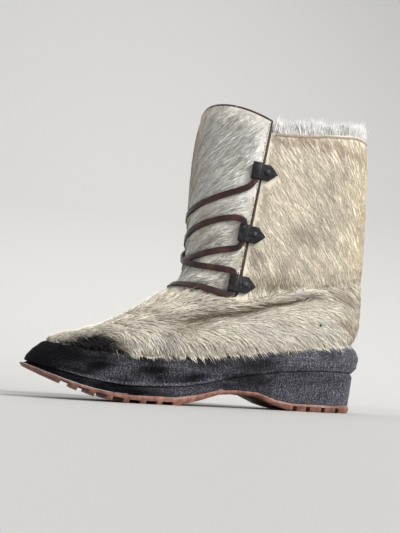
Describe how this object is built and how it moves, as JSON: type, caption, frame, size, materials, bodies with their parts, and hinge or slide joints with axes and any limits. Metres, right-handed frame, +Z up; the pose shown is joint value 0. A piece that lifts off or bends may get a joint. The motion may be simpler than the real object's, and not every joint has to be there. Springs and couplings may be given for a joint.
{
  "type": "apres-ski boot",
  "caption": "Left apres-ski boot in hair-on hide, with a wide front tongue, a criss-cross leather lace in folded loops, a black rand and a ribbed sole with a low heel.",
  "frame": {"origin": "middle of the boot's box, on the floor", "axes": "+Z up, toe towards -Y, outer side of the foot towards +X"},
  "size_m": [0.1038, 0.304, 0.2704],
  "materials": {
    "tan_rubber": "moulded matt rubber, lightly soiled in the grooves",
    "black_midsole": "matt black",
    "black_rand": "fine grained black leather, satin, scuffed",
    "felt": "pressed wool felt",
    "cream_hide": "hair-on hide, cream and beige, long on the foot and short on the shaft",
    "silky_hide": "hair-on hide, short and silky, silver beige",
    "brown_binding": "thin dark brown leather binding",
    "white_hair": "long white hair",
    "brown_thong": "flat dark brown leather thong, satin",
    "black_leather": "smooth black leather, satin"
  },
  "bodies": {
    "root": {"outsole": "tan_rubber", "midsole": "black_midsole", "rand": "black_rand", "insole": "felt", "upper": "cream_hide", "tongue": "silky_hide", "tongue_binding": "brown_binding", "collar_fringe": "white_hair", "lace": "brown_thong", "lace_loop_outer_low": "black_leather", "lace_loop_outer_middle": "black_leather", "lace_loop_outer_top": "black_leather", "lace_loop_inner_low": "black_leather", "lace_loop_inner_middle": "black_leather", "lace_loop_inner_top": "black_leather"}
  },
  "joints": []
}
